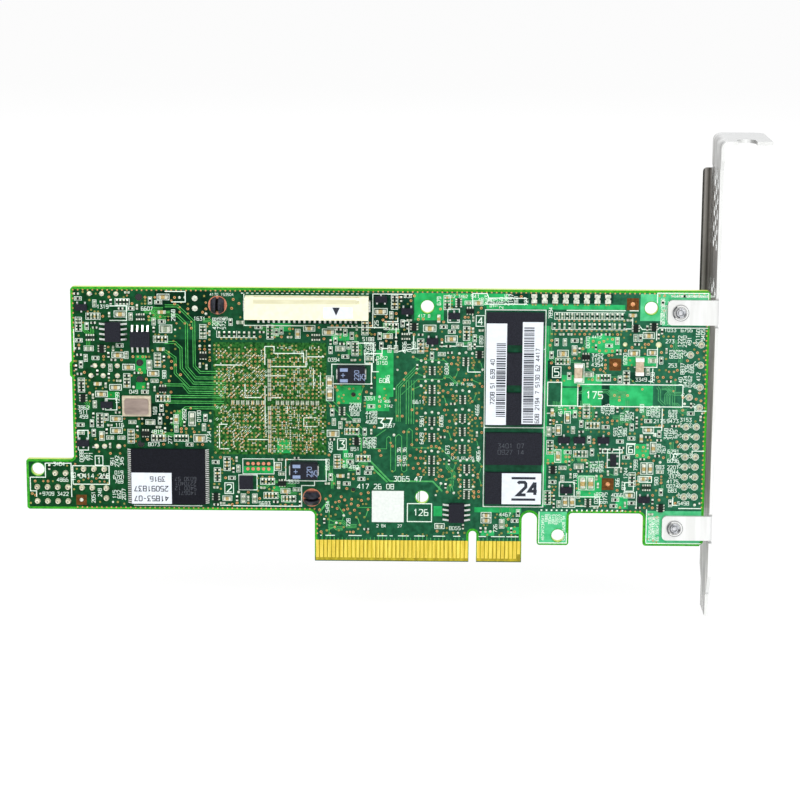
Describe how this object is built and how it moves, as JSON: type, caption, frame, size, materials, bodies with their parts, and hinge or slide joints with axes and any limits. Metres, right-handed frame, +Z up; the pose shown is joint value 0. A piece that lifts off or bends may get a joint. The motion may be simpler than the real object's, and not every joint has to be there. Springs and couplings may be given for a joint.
{
  "type": "raid controller card",
  "caption": "Low-profile green raid controller card in a full-height steel slot bracket, solder side forward, with gold edge contacts, memory chips, cable ports and heatsink.",
  "frame": {"origin": "on the solder face at the bottom edge of the card edge contacts, in the middle of the key notch", "axes": "+X along the card towards the bracket, +Y from the solder face to the component side, +Z up from the contact edge"},
  "size_m": [0.1812, 0.0217, 0.12],
  "materials": {
    "board_laminate": "green solder mask over glass epoxy",
    "gold_plating": "thin gold over nickel",
    "plated_steel": "satin nickel plate",
    "screw_steel": "bright zinc",
    "package_substrate": "green laminate",
    "lid_nickel": "satin nickel",
    "thermal_pad": "soft grey pad",
    "black_aluminium": "black anodised",
    "black_nylon": "moulded nylon",
    "spring_steel": "bright wire",
    "tin_shield": "tin plated sheet",
    "black_plastic": "moulded, glass filled",
    "ivory_plastic": "moulded, natural colour",
    "tinned_lead": "tin plate",
    "black_epoxy": "mould compound",
    "tan_ceramic": "fired ceramic",
    "grey_ferrite": "pressed ferrite",
    "white_paper": "printed label stock"
  },
  "bodies": {
    "root": {"circuit_board": "board_laminate", "edge_contacts_solder": "gold_plating", "edge_contacts_component": "gold_plating", "mounting_bracket": "plated_steel", "bracket_screws": "screw_steel", "processor_package": "package_substrate", "processor_lid": "lid_nickel", "thermal_pad": "thermal_pad", "heatsink": "black_aluminium", "push_pin_upper": "black_nylon", "push_pin_lower": "black_nylon", "pin_spring_upper": "spring_steel", "pin_spring_lower": "spring_steel", "port_cage_lower": "tin_shield", "port_cage_upper": "tin_shield", "port_insulator_lower": "black_plastic", "port_insulator_upper": "black_plastic", "port_contacts_lower": "gold_plating", "port_contacts_upper": "gold_plating", "backup_connector": "ivory_plastic", "backup_contacts": "tinned_lead", "backup_hold_downs": "tinned_lead", "connector_label": "white_paper", "module_socket": "black_plastic", "battery_lead_socket": "ivory_plastic", "tail_header_blocks": "black_plastic", "tail_header_posts": "gold_plating", "bracket_header_blocks": "black_plastic", "bracket_header_posts": "gold_plating", "flash_package": "black_epoxy", "flash_leads": "tinned_lead", "logic_chip_a": "black_epoxy", "logic_chip_b": "black_epoxy", "logic_chip_c": "black_epoxy", "logic_chip_leads": "tinned_lead", "clock_base": "tan_ceramic", "clock_lid": "lid_nickel", "power_driver": "black_epoxy", "tantalum_capacitors": "black_epoxy", "tantalum_terminals": "tinned_lead", "ceramic_capacitors": "tan_ceramic", "small_packages": "black_epoxy", "small_package_legs": "tinned_lead", "long_label_left": "white_paper", "long_label_right": "white_paper", "square_label": "white_paper", "flash_label": "white_paper", "power_coil_a": "grey_ferrite", "power_coil_b": "grey_ferrite", "power_coil_c": "grey_ferrite", "memory_chip_1": "black_epoxy", "memory_chip_2": "black_epoxy", "memory_chip_3": "black_epoxy", "memory_chip_4": "black_epoxy", "memory_chip_5": "black_epoxy", "memory_chip_6": "black_epoxy", "memory_chip_7": "black_epoxy", "memory_chip_8": "black_epoxy", "memory_chip_9": "black_epoxy"}
  },
  "joints": []
}
